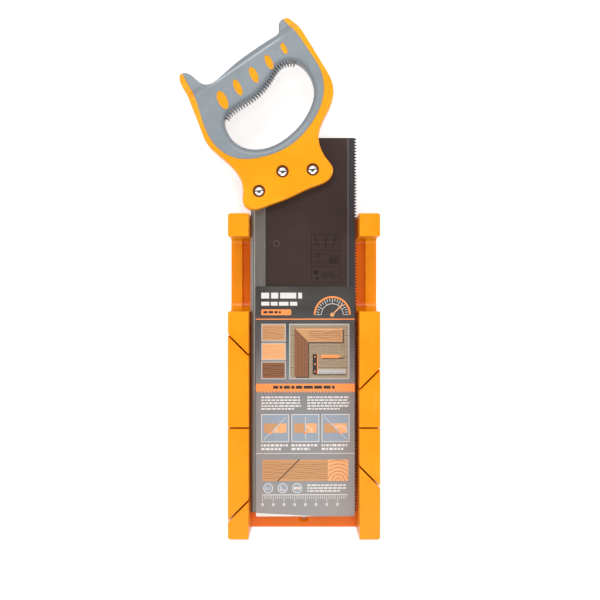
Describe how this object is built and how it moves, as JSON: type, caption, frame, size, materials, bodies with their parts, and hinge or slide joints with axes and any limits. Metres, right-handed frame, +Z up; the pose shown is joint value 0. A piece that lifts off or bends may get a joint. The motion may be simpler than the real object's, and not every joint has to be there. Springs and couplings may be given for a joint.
{
  "type": "miter box with back saw",
  "caption": "Open-ended plastic miter box with square and 45 degree kerfs, a back saw stored in its channel and a printed insert card.",
  "frame": {"origin": "centre of the miter box's flat underside", "axes": "+Y along the channel towards the saw's handle, +Z up out of the channel"},
  "size_m": [0.1862, 0.4832, 0.066],
  "materials": {
    "orange_plastic": "smooth injection-moulded",
    "dark_blade_steel": "dark lacquered",
    "grey_spine_steel": "satin grey",
    "grey_soft_plastic": "matt soft-touch",
    "chromed_steel": "polished",
    "printed_card": "satin printed"
  },
  "bodies": {
    "box": {"miter_box_body": "orange_plastic"},
    "saw": {"saw_blade": "dark_blade_steel", "blade_spine": "grey_spine_steel", "handle_core": "orange_plastic", "grip_overmould": "grey_soft_plastic", "handle_screws": "chromed_steel", "handle_nuts": "chromed_steel"},
    "card": {"insert_card": "printed_card"}
  },
  "joints": [
    {"name": "saw_slide", "type": "slide", "parent": "box", "child": "saw", "axis": [0, 1, 0], "range_m": [0, 0.3]},
    {"name": "card_lift", "type": "slide", "parent": "saw", "child": "card", "axis": [0, 0, 1], "range_m": [0, 0.06]}
  ]
}
